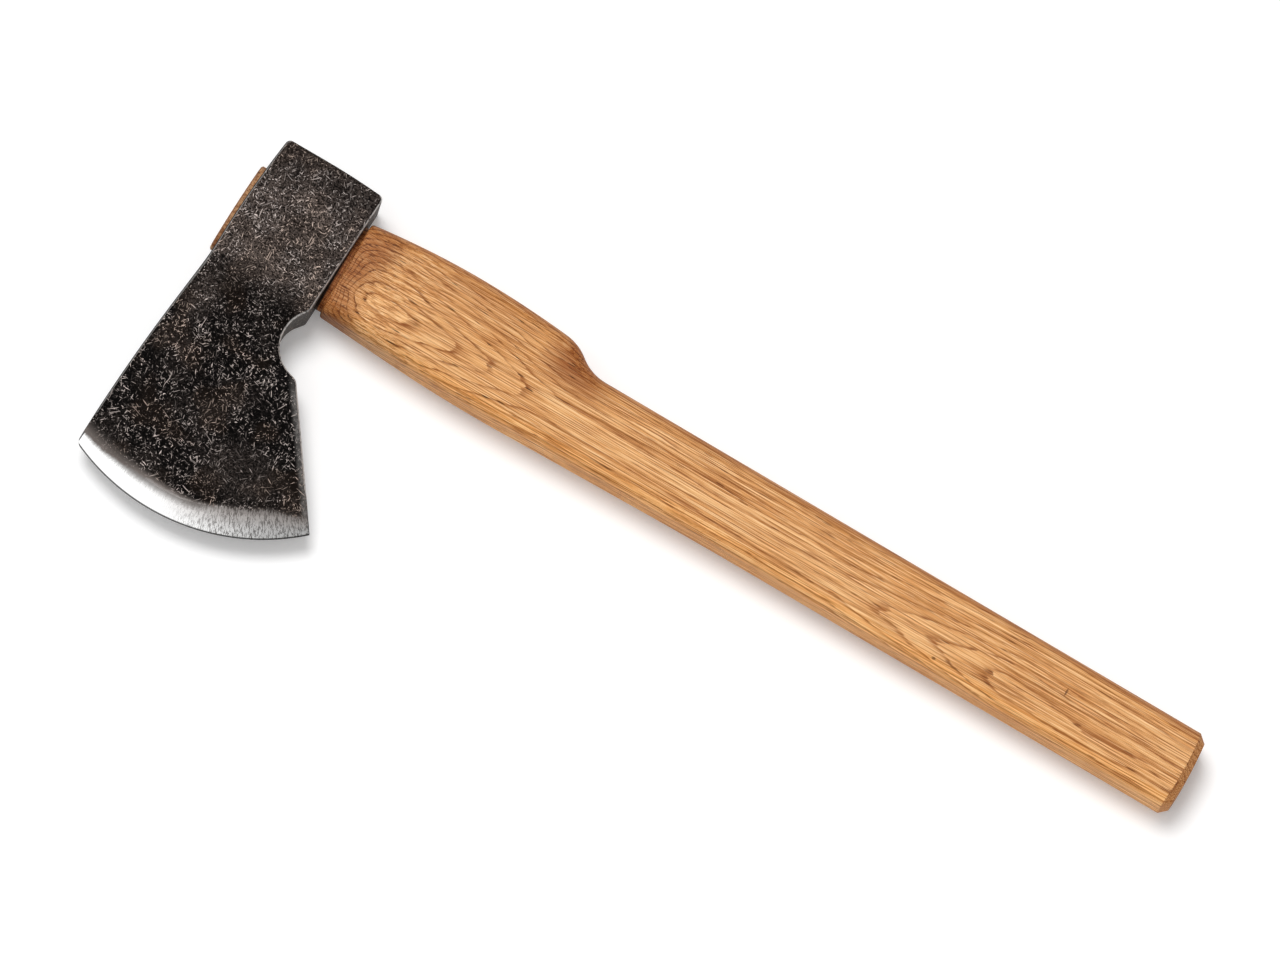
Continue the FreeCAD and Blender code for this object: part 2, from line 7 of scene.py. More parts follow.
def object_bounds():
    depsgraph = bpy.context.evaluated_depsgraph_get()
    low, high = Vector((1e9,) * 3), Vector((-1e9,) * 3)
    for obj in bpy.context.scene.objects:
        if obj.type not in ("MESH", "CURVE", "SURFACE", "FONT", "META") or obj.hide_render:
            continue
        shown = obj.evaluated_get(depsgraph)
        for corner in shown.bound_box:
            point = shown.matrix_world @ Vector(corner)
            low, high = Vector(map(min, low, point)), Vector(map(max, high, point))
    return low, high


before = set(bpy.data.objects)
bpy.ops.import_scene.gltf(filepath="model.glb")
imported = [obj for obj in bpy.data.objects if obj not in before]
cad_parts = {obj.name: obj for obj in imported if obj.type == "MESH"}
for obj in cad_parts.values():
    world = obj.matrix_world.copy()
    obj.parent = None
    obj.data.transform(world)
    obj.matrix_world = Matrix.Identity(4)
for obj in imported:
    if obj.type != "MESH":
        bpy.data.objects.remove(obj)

cad_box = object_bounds()

# ------------------------------------------------------------------------------------------- table
# The hatchet lies on one cheek on a plain white table. The table keeps the soft shadow under it and
# is plain white where nothing shades it.
TABLE_HALF = 40.0     # m, far past the view on every side
TABLE_WHITE = 0.93
TABLE_LIFT = 0.14     # glow that is only seen, so that the unshaded paper reads as plain white


class Recipe:
    """A material under construction. Each method adds one node and returns its output."""

    def __init__(self, name):
        self.material = bpy.data.materials.new(name)
        self.material.use_nodes = True
        self.nodes = self.material.node_tree.nodes
        self.links = self.material.node_tree.links
        self.nodes.clear()

    def node(self, kind, inputs=(), output=0, **settings):
        """Any node. Inputs are (socket, value) pairs, where a value is a number, a colour or an output."""
        node = self.nodes.new("ShaderNode" + kind)
        for setting, value in settings.items():
            setattr(node, setting, value)
        for socket, value in dict(inputs).items():
            if isinstance(value, bpy.types.NodeSocket):
                self.links.new(value, node.inputs[socket])
            else:
                node.inputs[socket].default_value = value
        return node.outputs[output]

    def math(self, operation, *values, clamp=False):
        return self.node("Math", list(enumerate(values)), operation=operation, use_clamp=clamp)

    def vector(self, operation, *values, output=0):
        return self.node("VectorMath", list(enumerate(values)), output, operation=operation)

    def finish(self, shader):
        surface = self.nodes.new("ShaderNodeOutputMaterial").inputs["Surface"]
        self.links.new(shader, surface)
        return self.material


def white_paper():
    paper = Recipe("white_paper")
    rays = paper.nodes.new("ShaderNodeLightPath").outputs
    seen = paper.math("MAXIMUM", rays["Is Camera Ray"], rays["Is Glossy Ray"])
    seen = paper.math("MAXIMUM", seen, rays["Is Transmission Ray"])
    lift = paper.math("MULTIPLY", seen, TABLE_LIFT)
    shaded = paper.node("BsdfDiffuse", [("Color", (TABLE_WHITE, TABLE_WHITE, TABLE_WHITE, 1))])
    lifted = paper.node("Emission", [("Color", (1, 1, 1, 1)), ("Strength", lift)])
    return paper.finish(paper.node("AddShader", [(0, shaded), (1, lifted)]))


table_mesh = bpy.data.meshes.new("table")
table_corners = [(-1, -1), (1, -1), (1, 1), (-1, 1)]
table_mesh.from_pydata([(x * TABLE_HALF, y * TABLE_HALF, 0) for x, y in table_corners], [], [(0, 1, 2, 3)])
table_mesh.materials.append(white_paper())
table = bpy.data.objects.new("table", table_mesh)
bpy.context.scene.collection.objects.link(table)

# -------------------------------------------------------------------------------------------- head
# A drop-forged carbon steel head: black forge scale tumbled until it is covered in fine scratches,
# rims bright from wear and a painted highlight, and the edge ground and polished from both sides. It
# is hung on the haft's tenon.
EYE_FROM_HAFT_END = 0.4035   # m, butt to eye middle
POLL_REACH = 0.0311          # m, poll face to eye middle
# the other places of the head are in mm from the middle of the eye
EDGE_RADIUS = 85.6           # round of the cutting edge
EDGE_MIDDLE = (6.7, -34.7)   # centre of that round
BEARD = (30.2, -48.4, 0)     # where notch and heel side meet
HEEL_SIDE_INWARD = (-0.814, -0.581, 0)
TOE = (-30.2, -111.9, 0)     # where crown side and cutting edge meet
CROWN_SIDE_INWARD = (0.997, -0.079, 0)

FINE_SCRATCHES = ((8, 2.9), (38, 1.7), (67, 4.2), (98, 2.3), (127, 3.4), (158, 1.5))  # degrees, mm
LONG_SCRATCHES = ((22, 9.0), (84, 12.0), (135, 7.0))
QUIET_PATCH = ((31, -91, 8), (19, 13, 20))   # middle and reach of the least scratched part of the blade
CROWN_GLINT_PATCH = ((-17, -37, 12), (9, 15, 20))  # middle and reach of the greyed bend under the eye, a painted glint

BLACK_SCALE = (0.0010, 0.0008, 0.0007)
BROWN_SCALE = (0.0060, 0.0038, 0.0026)
SCALE_SPECKS = (0.022, 0.018, 0.017)
RUBBED_SCALE = (0.118, 0.092, 0.080)
HAFT_SIDE_WALL = (0.10, 0.095, 0.09)
CROWN_SIDE_WALL = (0.032, 0.029, 0.027)
SCRATCH = (0.80, 0.69, 0.64)
BROWN_SCRATCH = (0.72, 0.56, 0.47)
OUTER_RIM = (0.004, 0.0035, 0.003)
HEEL_BAND_HIGHLIGHT = (0.24, 0.225, 0.215)
BAND_OVER_BEVEL = (0.14, 0.12, 0.11)
WORN_RIM_AND_HIGHLIGHT = (0.60, 0.575, 0.555)
MIRROR_POLISH = (0.80, 0.80, 0.795)
SATIN_POLISH_AND_DIM_REFLECTION = (0.425, 0.392, 0.375)
GRIT_LINES = (0.09, 0.08, 0.075)
BEVEL_TOP = (0.13, 0.115, 0.105)
EDGE_LIP = (0.02, 0.02, 0.02)

cad_low, cad_high = (Vector(corner) for corner in cad_box)
eye_middle = Vector((cad_high.x - EYE_FROM_HAFT_END, cad_high.y - POLL_REACH, (cad_low.z + cad_high.z) / 2))


def from_eye(recipe):
    """Place on the hatchet in millimetres from the middle of the eye: along the haft, to the poll, up."""
    place = recipe.node("TexCoord", output="Object")
    shifted = recipe.vector("SUBTRACT", place, tuple(eye_middle))
    return recipe.vector("MULTIPLY", shifted, (1000, 1000, 1000))


def facing(recipe):
    """Which way the surface faces, along the same three directions."""
    return split(recipe, recipe.node("TexCoord", output="Normal"))


def split(recipe, place):
    node = recipe.nodes.new("ShaderNodeSeparateXYZ")
    recipe.links.new(place, node.inputs[0])
    return node.outputs[0], node.outputs[1], node.outputs[2]


def times(recipe, *values):
    """Product of all the values."""
    product, *others = values
    for value in others:
        product = recipe.math("MULTIPLY", product, value)
    return product


def strongest(recipe, *values):
    """Largest of all the values."""
    largest, *others = values
    for value in others:
        largest = recipe.math("MAXIMUM", largest, value)
    return largest


def line_of(recipe, value, slope, start):
    """Straight rule: the value times the slope, plus the start."""
    return recipe.math("MULTIPLY_ADD", value, slope, start)


def fade(recipe, value, start, stop, low=0.0, high=1.0):
    """Goes smoothly from low to high as the value passes from start to stop."""
    inputs = [("Value", value), ("From Min", start), ("From Max", stop), ("To Min", low), ("To Max", high)]
    return recipe.node("MapRange", inputs, interpolation_type="SMOOTHSTEP")


def blend(recipe, share, first, second, how="MIX"):
    """Colour between first and second."""
    node = recipe.nodes.new("ShaderNodeMix")
    node.data_type = "RGBA"
    node.blend_type = how
    node.clamp_factor = True
    for socket, value in ((0, share), (6, first), (7, second)):
        if isinstance(value, bpy.types.NodeSocket):
            recipe.links.new(value, node.inputs[socket])
        else:
            node.inputs[socket].default_value = value if socket == 0 else (*value, 1)
    return node.outputs[2]


def spot(recipe, place, middle, reach, edge, core, strength=1.0):
    """Soft round spot about a middle, fading in from edge to core, both as shares of its reach in mm."""
    apart = recipe.vector("DIVIDE", recipe.vector("SUBTRACT", place, middle), reach)
    return fade(recipe, recipe.vector("LENGTH", apart, output="Value"), edge, core, 0.0, strength)


def inside_of(recipe, place, corner, inward):
    """Distance in mm inward from a straight side that starts at the corner."""
    from_corner = recipe.vector("SUBTRACT", place, corner)
    return recipe.vector("DOT_PRODUCT", from_corner, inward, output="Value")


def stretched(recipe, place, turn, lengths):
    """Place turned about the thickness, then measured in cells of the given lengths in mm."""
    inputs = [("Vector", place), ("Angle", math.radians(turn))]
    turned = recipe.node("VectorRotate", inputs, rotation_type="Z_AXIS")
    return recipe.vector("DIVIDE", turned, tuple(lengths))


def cloud(recipe, place, size, detail=2.0, rough=0.5, w=None):
    """Soft blotches of the given size in mm, from 0 to 1. Another w gives other blotches."""
    scaled = recipe.vector("DIVIDE", place, tuple(size) if hasattr(size, "__len__") else (size, size, size))
    if w is not None:
        scaled = recipe.vector("ADD", scaled, (w, w, w))
    inputs = [("Vector", scaled), ("Scale", 1.0), ("Detail", detail), ("Roughness", rough)]
    return recipe.node("TexNoise", inputs)


def strokes(recipe, place, turn, long, wide, kept):
    """Short straight marks turned by an angle, in cells long by wide in mm; kept is the share of them."""
    cells = stretched(recipe, place, turn, (long, wide, wide))
    cell = recipe.nodes.new("ShaderNodeTexVoronoi")
    cell.inputs["Scale"].default_value = 1.0
    recipe.links.new(cells, cell.inputs["Vector"])
    lot, strength, _ = split(recipe, cell.outputs["Color"])
    shape = fade(recipe, cell.outputs["Distance"], 0.46, 0.26)
    chosen = fade(recipe, lot, 1.0 - kept, 1.0 - 0.9 * kept)
    return times(recipe, shape, chosen, recipe.math("POWER", strength, 1.3))


def tumbling_scratches(steel, place):
    """Scratches in many directions, each a little bent: many fine ones and a few long ones."""
    inputs = [("Vector", steel.vector("DIVIDE", place, (9, 9, 9))), ("Scale", 1.0), ("Detail", 1.0)]
    wander = steel.vector("SUBTRACT", steel.node("TexNoise", inputs, output="Color"), (0.5, 0.5, 0.5))
    bent = steel.vector("ADD", place, steel.vector("MULTIPLY", wander, (3, 3, 3)))
    fine = [strokes(steel, bent, turn, long, 0.30, 0.085) for turn, long in FINE_SCRATCHES]
    coarse = [strokes(steel, bent, turn, long, 0.38, 0.035) for turn, long in LONG_SCRATCHES]
    return strongest(steel, *fine), strongest(steel, *coarse)


def scale_wear(steel, place, fine, coarse, mottle):
    """How far scratches, grey rubbing and specks cover the black scale.

    The flats beside the eye are greyed by rubbing, and the bend below them keeps fewer scratches as painted
    shade.
    """
    y = split(steel, place)[1]
    dots = strokes(steel, place, 0, 0.6, 0.6, 0.14)
    patch = fade(steel, cloud(steel, place, 9.0, 3.0, 0.6), 0.38, 0.62)
    beside_eye = fade(steel, y, -32, -14)
    poll_end = fade(steel, y, 12, 24)
    # painted shade: the bend below the eye's flats gets fewer scratches, so it renders darker
    painted_bend_shade = times(steel, fade(steel, y, -40, -27), fade(steel, y, -17, -24))
    quiet = spot(steel, place, *QUIET_PATCH, 1.2, 0.5)

    rubbed_and_painted_light = strongest(steel, line_of(steel, patch, 0.65, 0.35), times(steel, beside_eye, 0.95))
    rubbed_and_painted_light = times(steel, rubbed_and_painted_light, line_of(steel, painted_bend_shade, -0.2, 1.0), line_of(steel, poll_end, -0.45, 1.0))
    marks = times(steel, strongest(steel, fine, times(steel, dots, 0.7)), rubbed_and_painted_light,
                  line_of(steel, mottle, 0.55, 0.8), line_of(steel, quiet, -0.65, 1.0))
    marks = steel.math("MAXIMUM", marks, times(steel, coarse, 0.7), clamp=True)

    haze = times(steel, fade(steel, cloud(steel, place, 16.0, 2.0, 0.5, w=9.1), 0.46, 0.62), 0.16)
    # painted glint: a grey haze patch on the bend beside the crown side
    crown_glint_patch = spot(steel, place, *CROWN_GLINT_PATCH, 1.1, 0.3, 0.6)
    grain = cloud(steel, place, 0.7, 2.0, 0.7, w=2.2)
    veil = strongest(steel, beside_eye, haze, crown_glint_patch, times(steel, quiet, 0.3))
    veil = times(steel, veil, line_of(steel, poll_end, -0.5, 1.0), line_of(steel, patch, 0.4, 0.6),
                 fade(steel, grain, 0.36, 0.64))
    specks = times(steel, fade(steel, grain, 0.5, 0.66), line_of(steel, mottle, 0.7, 0.3))
    return marks, veil, specks


def rims(steel, place):
    """Rounded rims: bright from wear and a painted highlight on the haft side, dark with a thin painted
    highlight line inside on the crown side.
    """
    nx, _, nz = facing(steel)
    flatness = steel.math("ABSOLUTE", nz)
    rim = times(steel, fade(steel, flatness, 0.15, 0.45), fade(steel, flatness, 0.9, 0.75))
    rim_noise = fade(steel, cloud(steel, place, 1.6, 3.0, 0.6), 0.28, 0.55)
    inner_highlight_line = times(steel, fade(steel, flatness, 0.6, 0.8), fade(steel, flatness, 0.97, 0.88),
                       fade(steel, nx, -0.05, -0.2))
    # painted highlight on the rims, together with their wear
    worn_and_highlight = strongest(steel, times(steel, rim, fade(steel, nx, 0.05, 0.3), rim_noise),
                     times(steel, inner_highlight_line, 0.3))
    crown_side = fade(steel, nx, -0.1, -0.3)
    outer_rim = times(steel, rim, crown_side)
    wall = fade(steel, flatness, 0.5, 0.2)
    return worn_and_highlight, outer_rim, wall, blend(steel, crown_side, HAFT_SIDE_WALL, CROWN_SIDE_WALL)


def ground_edge(steel, place, mottle, from_heel_side):
    """The ground bevel, its half-polished band, its grit marks, its satin share, greyed as a painted dimmer
    reflection, and its dull top.

    Distances run in from the cutting edge, against a width that narrows to toe and heel.
    """
    x, y, z = split(steel, place)
    spoke = steel.vector("DISTANCE", steel.node("CombineXYZ", [("X", x), ("Y", y)]), (*EDGE_MIDDLE, 0),
                         output="Value")
    inward = steel.math("SUBTRACT", EDGE_RADIUS, spoke)
    width = steel.math("ADD", fade(steel, x, -36, 6, 4.4, 9.6), fade(steel, x, 20, 34, 0.0, 1.4))
    width = steel.math("SUBTRACT", width, fade(steel, x, 44, 66, 0.0, 5.5))
    round_edge = steel.math("ARCTAN2", steel.math("SUBTRACT", x, EDGE_MIDDLE[0]),
                            steel.math("SUBTRACT", EDGE_MIDDLE[1], y))
    along_edge = times(steel, round_edge, EDGE_RADIUS)
    grit_place = steel.node("CombineXYZ", [("X", along_edge), ("Y", inward), ("Z", z)])
    grit = cloud(steel, grit_place, (0.45, 2.0, 3.0), 3.0, 0.75)

    # the bevel's upper end is more ragged towards the heel
    ragged = times(steel, steel.math("SUBTRACT", grit, 0.5), line_of(steel, fade(steel, x, 2, 34), 4.0, 1.0))
    ragged = steel.math("ADD", ragged, inward)
    ragged = line_of(steel, steel.math("SUBTRACT", mottle, 0.5), 0.5, ragged)
    ground = fade(steel, steel.math("SUBTRACT", ragged, width), 0.5, -0.5)
    # the half-polished band above it is widest at the toe
    band = steel.math("DIVIDE", steel.math("SUBTRACT", inward, width), fade(steel, x, -25, 20, 6.5, 2.0))
    band = steel.math("POWER", fade(steel, band, 1.0, 0.0), 1.3)
    band = times(steel, band, fade(steel, x, 34, 8, 0.25, 0.85))

    # mirror bright at the toe, satin with grit lines towards the heel, dull at the top; the satin grey,
    # lighter towards the edge, is partly a painted dimmer reflection
    share_in = steel.math("DIVIDE", inward, width)
    satin_and_dim_reflection = times(steel, fade(steel, x, -8, 40), fade(steel, share_in, 0.1, 0.9, 0.05, 1.0))
    polish = blend(steel, satin_and_dim_reflection, MIRROR_POLISH, SATIN_POLISH_AND_DIM_REFLECTION)
    lined = times(steel, fade(steel, x, 6, 38), fade(steel, grit, 0.46, 0.60), 0.85)
    polish = blend(steel, lined, polish, GRIT_LINES)
    middle = times(steel, fade(steel, x, -16, -2), fade(steel, x, 30, 20))
    dull_top = line_of(steel, middle, 0.13, line_of(steel, grit, 0.3, share_in))
    dull_top = times(steel, fade(steel, dull_top, 0.85, 1.25), 0.88)
    polish = blend(steel, dull_top, polish, BEVEL_TOP)
    from_crown_side = inside_of(steel, place, TOE, CROWN_SIDE_INWARD)
    lip = strongest(steel, fade(steel, inward, 0.75, 0.4), fade(steel, from_crown_side, 0.5, 0.25),
                    fade(steel, from_heel_side, 0.6, 0.3))
    polish = blend(steel, times(steel, lip, 0.92), polish, EDGE_LIP)
    return ground, band, grit, satin_and_dim_reflection, dull_top, polish


def tumbled_steel():
    steel = Recipe("tumbled_steel")
    place = from_eye(steel)
    y = split(steel, place)[1]
    mottle = fade(steel, cloud(steel, place, 1.5, 3.0, 0.65), 0.4, 0.62)
    fine, coarse = tumbling_scratches(steel, place)
    marks, veil, specks = scale_wear(steel, place, fine, coarse, mottle)
    worn_and_highlight, outer_rim, wall, wall_colour = rims(steel, place)
    from_heel_side = inside_of(steel, place, BEARD, HEEL_SIDE_INWARD)
    # painted highlight: a lighter grey band along the heel side
    heel_band_highlight = times(steel, fade(steel, from_heel_side, 3.6, 0.8), fade(steel, y, -47, -54),
                      line_of(steel, mottle, 0.35, 0.3))
    ground, band, grit, satin_and_dim_reflection, dull_top, polish = ground_edge(steel, place, mottle, from_heel_side)

    brown = fade(steel, cloud(steel, place, 14.0, 1.0, 0.5, w=4.7), 0.48, 0.62)
    colour = blend(steel, brown, BLACK_SCALE, BROWN_SCALE)
    colour = blend(steel, specks, colour, SCALE_SPECKS)
    colour = blend(steel, veil, colour, RUBBED_SCALE)
    colour = blend(steel, wall, colour, wall_colour)
    colour = blend(steel, marks, colour, blend(steel, brown, SCRATCH, BROWN_SCRATCH))
    for share, shade in ((outer_rim, OUTER_RIM), (heel_band_highlight, HEEL_BAND_HIGHLIGHT), (band, BAND_OVER_BEVEL),
                         (worn_and_highlight, WORN_RIM_AND_HIGHLIGHT), (ground, polish)):
        colour = blend(steel, share, colour, shade)

    shining = times(steel, ground, line_of(steel, dull_top, -0.75, 1.0))
    bare = strongest(steel, times(steel, marks, 0.2), times(steel, worn_and_highlight, 0.7), times(steel, band, 0.3))
    bare = steel.math("MAXIMUM", bare, shining, clamp=True)
    rough = line_of(steel, ground, fade(steel, satin_and_dim_reflection, 0, 1, -0.24, -0.16), line_of(steel, band, -0.12, 0.5))

    depth = line_of(steel, mottle, 0.3, times(steel, fine, -0.8))
    depth = times(steel, steel.math("SUBTRACT", depth, coarse), steel.math("SUBTRACT", 1.0, ground))
    depth = line_of(steel, times(steel, grit, ground), 0.35, depth)
    bump = steel.node("Bump", [("Strength", 0.3), ("Distance", 0.00006), ("Height", depth)])
    shader = steel.node("BsdfPrincipled", [("Base Color", colour), ("Metallic", bare), ("Roughness", rough),
                                           ("Specular IOR Level", 0.015), ("Normal", bump)])
    return steel.finish(shader)


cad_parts["head"].material_slots[0].material = tumbled_steel()

# -------------------------------------------------------------------------------------------- haft
# One piece of straight-grained ash, sanded and oiled: a wide neck, a step down to the grip and a sawn
# butt with broken corners. Its tenon fills the head's eye.
HEART_ABOVE = 17.0           # mm, heart of the tree above the middle of the haft's thickness
HEART_ASIDE = -6.3           # mm, heart of the tree towards the bit, at the eye
HEART_DRIFT = -0.022         # mm further aside for each mm along the haft
YEAR_WIDTH = 3.4             # mm
HEART_RING = -0.8            # of a ring, so that a pale island lies by the head
SHOULDER = 24.6              # mm from the eye's middle, like all places below
STEP = 122.0
WORM_HOLE = ((-23.4, 15, 6), (0.5, 0.5, 3))   # middle and reach, as for the knots
KNOTS = (((346.6, -3.3, 12), (0.4, 1.7, 3)), ((296, -18, 12), (0.9, 0.6, 3)))

DARK_ASH = (0.70, 0.322, 0.100)
LIGHT_ASH = (0.77, 0.385, 0.138)
PALE_FIBRE = (0.95, 0.63, 0.325)
DARK_FIBRE = (0.27, 0.088, 0.021)
BROWN_STREAK = (0.50, 0.20, 0.058)
EARLY_WOOD = (0.50, 0.195, 0.055)
SEAM = (0.32, 0.110, 0.028)
NECK_RING = (0.26, 0.075, 0.017)
GRIP_RING = (0.33, 0.105, 0.026)
NECK_PORE = (0.035, 0.010, 0.003)
GRIP_PORE = (0.15, 0.046, 0.012)
SAWN_ASH = (0.60, 0.36, 0.19)
CROWN_DIRT = (0.26, 0.105, 0.040)
CROWN_EDGE = (0.20, 0.09, 0.045)
HOLE_BLACK = (0.03, 0.015, 0.010)
GRIME_AND_SHADE = (0.06, 0.022, 0.010)
GAP_SHADOW_BLACK = (0.006, 0.004, 0.003)
SHOULDER_SHADOW_LINE = (0.03, 0.010, 0.005)
KNOT_BROWN = (0.10, 0.030, 0.010)
# the next four multiply the colour under them
OIL_AND_SHADE_DARKENED = (0.52, 0.36, 0.25)
DARKER_CROWN_ENDS = (0.50, 0.33, 0.22)
PAINTED_LIGHT_BIT_SIDE = (1.18, 1.14, 1.04)
GAP_SHADE = (0.95, 0.82, 0.74)


def ring_count(ash, place):
    """Number of the year ring at a place. The heart of the tree lay just above the upper face."""
    x, y, z = split(ash, place)
    aside = ash.math("SUBTRACT", y, line_of(ash, x, HEART_DRIFT, HEART_ASIDE))
    below = ash.math("SUBTRACT", HEART_ABOVE, z)
    radius = ash.math("SQRT", ash.math("ADD", times(ash, aside, aside), times(ash, below, below)))
    slow_years = ash.math("MAXIMUM", ash.math("SUBTRACT", radius, 14.0), 0.0)
    rings = line_of(ash, slow_years, 0.16, ash.math("DIVIDE", radius, YEAR_WIDTH))

    # the rings close round the island by the head, run to flames in the neck and to arches in the grip
    from_island = ash.math("MAXIMUM", ash.math("SUBTRACT", 43.0, x), 0.0)
    closing = times(ash, ash.math("POWER", from_island, 3.0), fade(ash, radius, 6.0, 22.0, 0.00103, 0.0003))
    flame = ash.node("MapRange", [("Value", x), ("From Min", 48.0), ("From Max", 120.0), ("To Max", 4.0)])
    arch = ash.node("MapRange", [("Value", x), ("From Min", 250.0), ("From Max", 325.0), ("To Max", -2.9)])
    rings = ash.math("ADD", ash.math("ADD", rings, closing), ash.math("ADD", flame, arch))

    wave = cloud(ash, place, (60, 10, 10), 2.0, 0.5)
    ripple = cloud(ash, place, (22, 2.2, 2.2), 3.0, 0.6, w=3.1)
    rings = line_of(ash, wave, 1.3, rings)
    return line_of(ash, ripple, 0.5, ash.math("ADD", rings, HEART_RING))


def ash_grain(ash, place):
    """Early wood, ring lines, hairline seams and open pores, and the colour that they give new ash."""
    x = split(ash, place)[0]
    rings = ring_count(ash, place)
    in_ring = ash.math("FRACT", rings)
    ring_lot = ash.node("TexWhiteNoise", [("W", ash.math("FLOOR", rings))], noise_dimensions="1D")
    early = times(ash, fade(ash, in_ring, 0.0, 0.08), fade(ash, in_ring, 0.62, 0.10),
                  line_of(ash, ring_lot, 0.6, 0.4))
    patchy = fade(ash, cloud(ash, place, (16, 1.6, 1.6), 3.0, 0.6), 0.36, 0.6)
    ring_room = times(ash, fade(ash, in_ring, 0.0, 0.04), fade(ash, in_ring, 0.27, 0.07),
                      line_of(ash, patchy, 0.75, 0.25))
    dashed = fade(ash, cloud(ash, place, (10, 0.5, 0.5), 2.0, 0.6, w=3.1), 0.42, 0.54, 0.42, 1.0)
    line = times(ash, ring_room, dashed)

    fibre = cloud(ash, place, (34, 0.38, 0.38), 3.0, 0.75)
    streak = cloud(ash, place, (60, 1.3, 1.3), 3.0, 0.6, w=7.7)
    tone = cloud(ash, place, (80, 12, 12), 2.0, 0.5, w=1.3)
    seam_cloud = cloud(ash, place, (60, 0.7, 0.7), 1.0, 0.5, w=5.9)
    seams = fade(ash, ash.math("ABSOLUTE", ash.math("SUBTRACT", seam_cloud, 0.5)), 0.03, 0.0)
    long_pores = strokes(ash, place, 0, 14.0, 0.75, 0.5)
    short_pores = strokes(ash, place, 0, 5.5, 0.6, 0.5)
    pore_room = strongest(ash, ring_room, fade(ash, streak, 0.55, 0.72, 0.0, 0.6))
    pores = times(ash, strongest(ash, long_pores, short_pores), fade(ash, pore_room, 0.05, 0.4, 0.06, 1.0))

    colour = blend(ash, fade(ash, tone, 0.3, 0.7), DARK_ASH, LIGHT_ASH)
    for share, shade in (
        (fade(ash, fibre, 0.50, 0.61, 0.0, 0.85), PALE_FIBRE),
        (fade(ash, streak, 0.5, 0.72, 0.0, 0.25), BROWN_STREAK),
        (times(ash, early, 0.4), EARLY_WOOD),
        (times(ash, seams, 0.65), SEAM),
        (line, blend(ash, fade(ash, x, 70, 190), NECK_RING, GRIP_RING)),
        (fade(ash, fibre, 0.49, 0.38, 0.0, 0.95), DARK_FIBRE),
        (pores, blend(ash, fade(ash, x, 110, 190), NECK_PORE, GRIP_PORE)),
    ):
        colour = blend(ash, share, colour, shade)
    depth = line_of(ash, fibre, 0.4, line_of(ash, pores, -1.0, times(ash, line, -0.35)))
    return early, strongest(ash, line, seams), depth, colour


def sawn_crown(ash, place, nx, colour):
    """The crown's sawn wood is paler and duller, with darker ends, a darker edge and a worm hole."""
    x, y, _ = split(ash, place)
    crown = fade(ash, x, -18, -20)
    colour = blend(ash, times(ash, crown, 0.75), colour, SAWN_ASH)
    dirt = fade(ash, cloud(ash, place, (1.3, 1.1, 1.1), 3.0, 0.7, w=8.3), 0.46, 0.58)
    colour = blend(ash, times(ash, dirt, crown, 0.85), colour, CROWN_DIRT)
    colour = blend(ash, spot(ash, place, *WORM_HOLE, 1.2, 0.6), colour, HOLE_BLACK)
    # darker towards both ends of the crown
    darker_ends = strongest(ash, fade(ash, y, -6, -19, 0.1, 0.85), fade(ash, y, 16.5, 18.5, 0.0, 0.7))
    colour = blend(ash, times(ash, crown, darker_ends), colour, DARKER_CROWN_ENDS, how="MULTIPLY")
    edge = times(ash, crown, fade(ash, nx, -0.25, -0.6), 0.75)
    return blend(ash, edge, colour, CROWN_EDGE)


def shoulder_gap(ash, x, colour):
    """The strip of tenon between head and shoulder, under painted shade, with a painted black shadow against
    the eye and a painted shadow line at the shoulder.
    """
    in_gap = times(ash, fade(ash, x, 24.9, 24.3), fade(ash, x, 10, 15))
    colour = blend(ash, in_gap, colour, GAP_SHADE, how="MULTIPLY")
    # painted shadow: black against the eye
    shadow_by_eye = times(ash, in_gap, fade(ash, x, 23.2, 22.6, 0.0, 0.95))
    colour = blend(ash, shadow_by_eye, colour, GAP_SHADOW_BLACK)
    # painted shadow line along the shoulder
    line = fade(ash, ash.math("ABSOLUTE", ash.math("SUBTRACT", x, SHOULDER)), 0.4, 0.15)
    return blend(ash, times(ash, line, 0.25), colour, SHOULDER_SHADOW_LINE)


